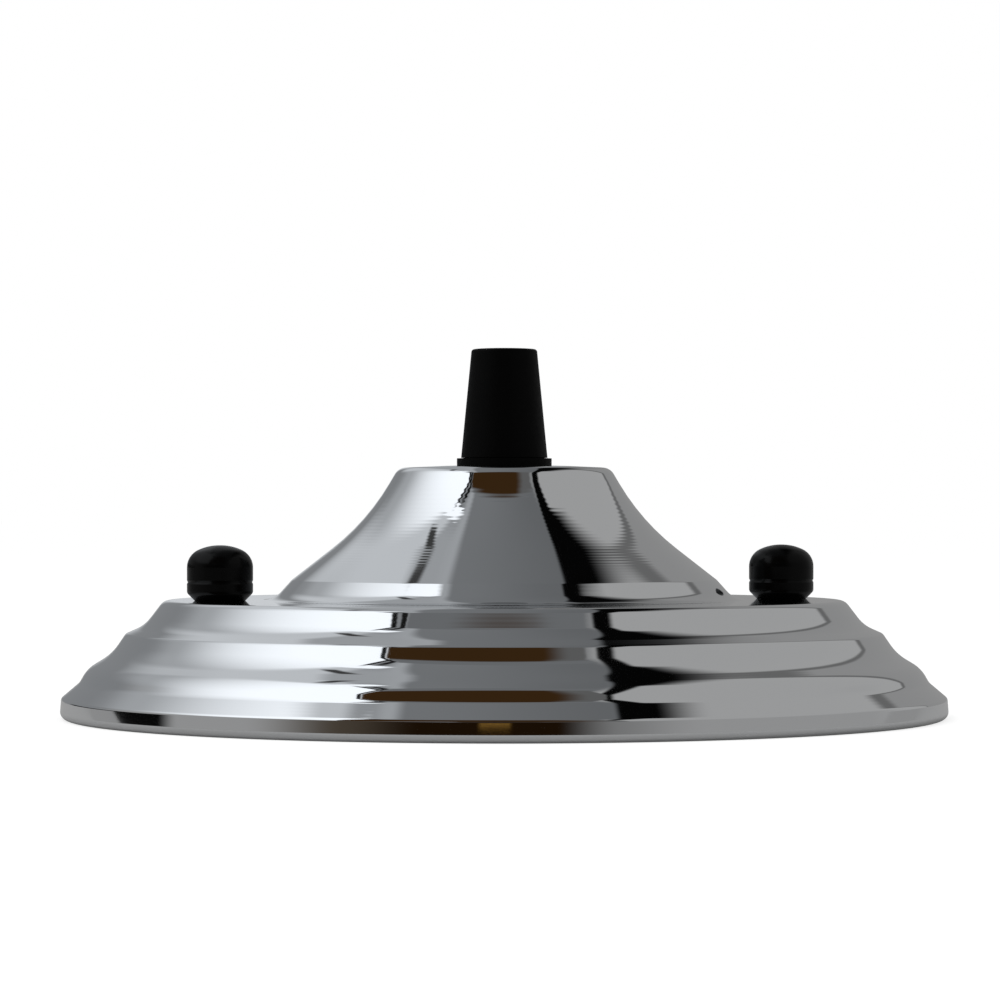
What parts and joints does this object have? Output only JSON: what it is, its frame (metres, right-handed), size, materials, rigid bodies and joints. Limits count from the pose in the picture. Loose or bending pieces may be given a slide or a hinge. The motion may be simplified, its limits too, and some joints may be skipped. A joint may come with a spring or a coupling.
{
  "type": "electrical ceiling rose",
  "caption": "Stepped, bell-topped metal ceiling rose with a tapered cord grip on its crown, domed cap nuts on its ledge, and a fixing strap with a terminal block inside.",
  "frame": {"origin": "centre of the rim's plane, which lies against the ceiling in use and on the table in the picture", "axes": "+Z from the ceiling side along the cord grip's axis, away from the ceiling; X through the two cap nuts; -Y towards the viewer of the picture"},
  "size_m": [0.12, 0.12, 0.0499],
  "materials": {
    "polished_chrome": "mirror polished",
    "gloss_black": "semi-gloss moulded",
    "satin_black": "matt moulded",
    "zinc_plate": "bright zinc plated strip",
    "zinc_screw": "zinc plated",
    "brass": "turned",
    "natural_nylon": "moulded"
  },
  "bodies": {
    "rose": {"block_screw_1": "zinc_screw", "block_screw_2": "zinc_screw", "canopy": "polished_chrome", "earth_screw": "brass", "earth_washer": "brass", "fixing_strap": "zinc_plate", "grip_body": "satin_black", "grip_nut": "zinc_screw", "grip_washer": "zinc_screw", "stud_nut_left": "zinc_screw", "stud_nut_right": "zinc_screw", "stud_screw_left": "zinc_screw", "stud_screw_right": "zinc_screw", "terminal_block": "natural_nylon", "terminal_screw_1_back": "zinc_screw", "terminal_screw_1_front": "zinc_screw", "terminal_screw_2_back": "zinc_screw", "terminal_screw_2_front": "zinc_screw", "terminal_screw_3_back": "zinc_screw", "terminal_screw_3_front": "zinc_screw", "terminal_tube_1": "brass", "terminal_tube_2": "brass", "terminal_tube_3": "brass"},
    "insert_left": {"cap_insert_left": "brass"},
    "nut_left": {"cap_nut_left": "gloss_black"},
    "insert_right": {"cap_insert_right": "brass"},
    "nut_right": {"cap_nut_right": "gloss_black"},
    "clamp": {"grip_collet": "satin_black"},
    "grip_top": {"grip_cap": "satin_black"}
  },
  "joints": [
    {"name": "cap_nut_left_rise", "type": "slide", "parent": "rose", "child": "insert_left", "axis": [0, 0, 1], "range_m": [0, 0.0049]},
    {"name": "cap_nut_left_turn", "type": "hinge", "parent": "insert_left", "child": "nut_left", "pos_m": [-0.0387, 0, 0.0195], "axis": [0, 0, 1], "range_deg": [0, 2540]},
    {"name": "cap_nut_right_rise", "type": "slide", "parent": "rose", "child": "insert_right", "axis": [0, 0, 1], "range_m": [0, 0.0049]},
    {"name": "cap_nut_right_turn", "type": "hinge", "parent": "insert_right", "child": "nut_right", "pos_m": [0.0387, 0, 0.0195], "axis": [0, 0, 1], "range_deg": [0, 2540]},
    {"name": "grip_clamp_rise", "type": "slide", "parent": "rose", "child": "clamp", "axis": [0, 0, 1], "range_m": [0, 0.004]},
    {"name": "grip_cap_turn", "type": "hinge", "parent": "clamp", "child": "grip_top", "pos_m": [0, 0, 0.042], "axis": [0, 0, 1], "range_deg": [0, 1450]}
  ],
  "couplings": [
    {"joint": "cap_nut_left_turn", "follows": "cap_nut_left_rise", "rad_per_m": 8976},
    {"joint": "cap_nut_right_turn", "follows": "cap_nut_right_rise", "rad_per_m": 8976},
    {"joint": "grip_cap_turn", "follows": "grip_clamp_rise", "rad_per_m": 6283.2}
  ]
}
